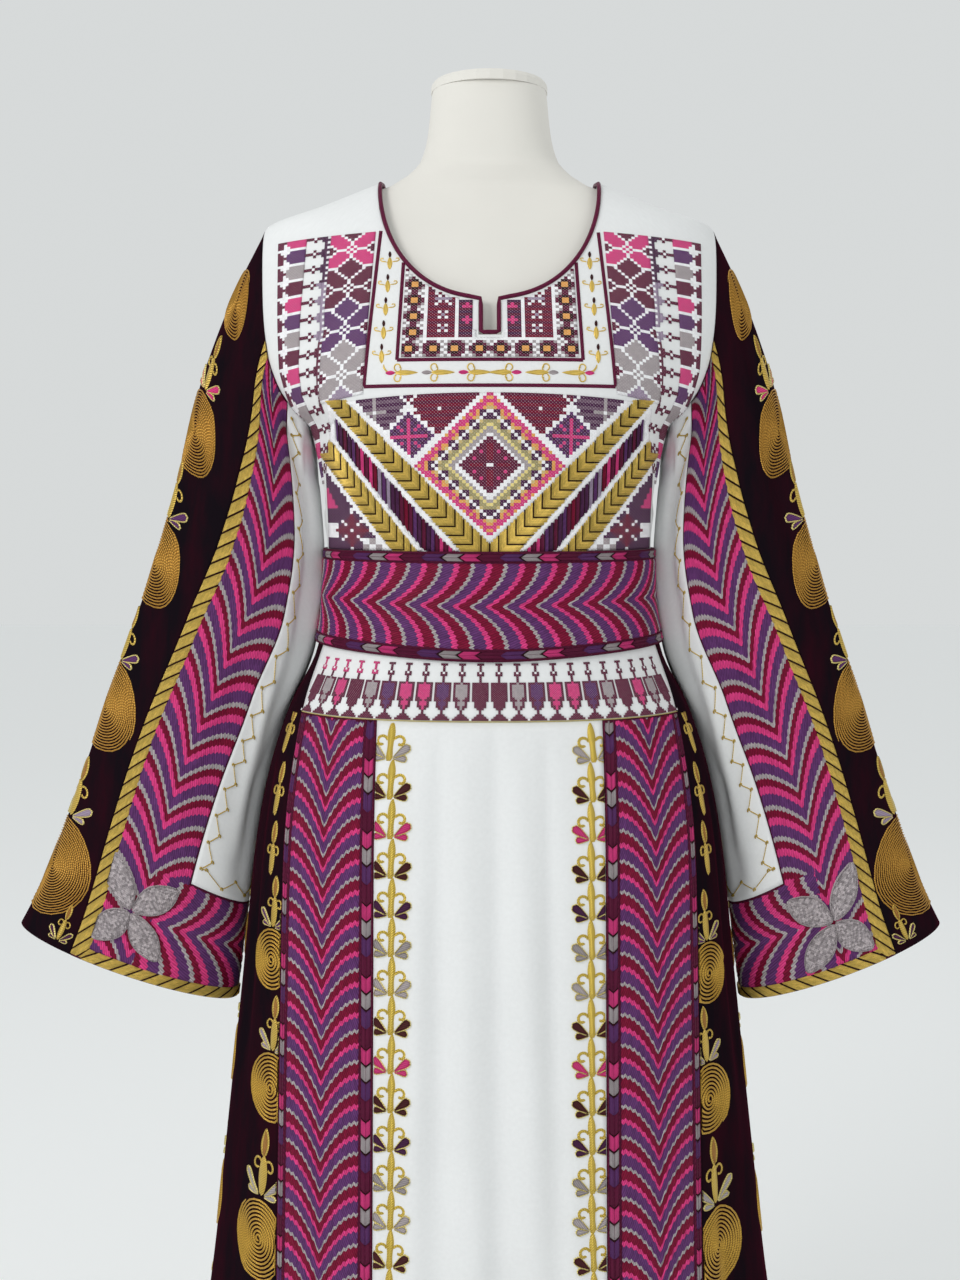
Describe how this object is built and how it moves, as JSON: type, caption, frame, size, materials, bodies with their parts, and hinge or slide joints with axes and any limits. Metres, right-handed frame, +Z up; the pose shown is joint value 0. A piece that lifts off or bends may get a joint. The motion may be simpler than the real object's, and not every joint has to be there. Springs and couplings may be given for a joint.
{
  "type": "embroidered thobe dress on a limbless dress form",
  "caption": "Long thobe dress with open flared sleeves, embroidered chest, stiff belt and full-length skirt, worn by a limbless dress form on a round base.",
  "frame": {"origin": "middle of the underside of the base", "axes": "+Z up along the pole, -Y out of the front of the dress, +X to the right seen from the front"},
  "size_m": [0.8592, 0.4385, 1.541],
  "materials": {
    "cotton": "matt white cotton",
    "chest": "white cotton covered with satin stitch and cross stitch",
    "piping": "burgundy satin piping",
    "feather": "dense satin stitch in bands",
    "velvet": "black velvet with a maroon sheen",
    "gold": "gold thread, satin stitch",
    "form": "smooth off-white jersey cover",
    "metal": "satin steel"
  },
  "bodies": {
    "root": {"belt": "feather", "bodice_back": "cotton", "bodice_front": "chest", "form_base": "metal", "form_body": "form", "form_neck_cap": "form", "form_pole": "metal", "hip_band": "chest", "neck_binding": "piping", "skirt_back": "cotton", "skirt_band_left": "feather", "skirt_band_right": "feather", "skirt_front": "cotton", "skirt_side_left": "velvet", "skirt_side_right": "velvet", "sleeve_back_left": "cotton", "sleeve_back_right": "cotton", "sleeve_band_left": "feather", "sleeve_band_right": "feather", "sleeve_cuff_left": "feather", "sleeve_cuff_right": "feather", "sleeve_edge_left": "gold", "sleeve_edge_right": "gold", "sleeve_strip_left": "gold", "sleeve_strip_right": "gold", "sleeve_under_left": "cotton", "sleeve_under_right": "cotton", "sleeve_velvet_left": "velvet", "sleeve_velvet_right": "velvet"}
  },
  "joints": []
}
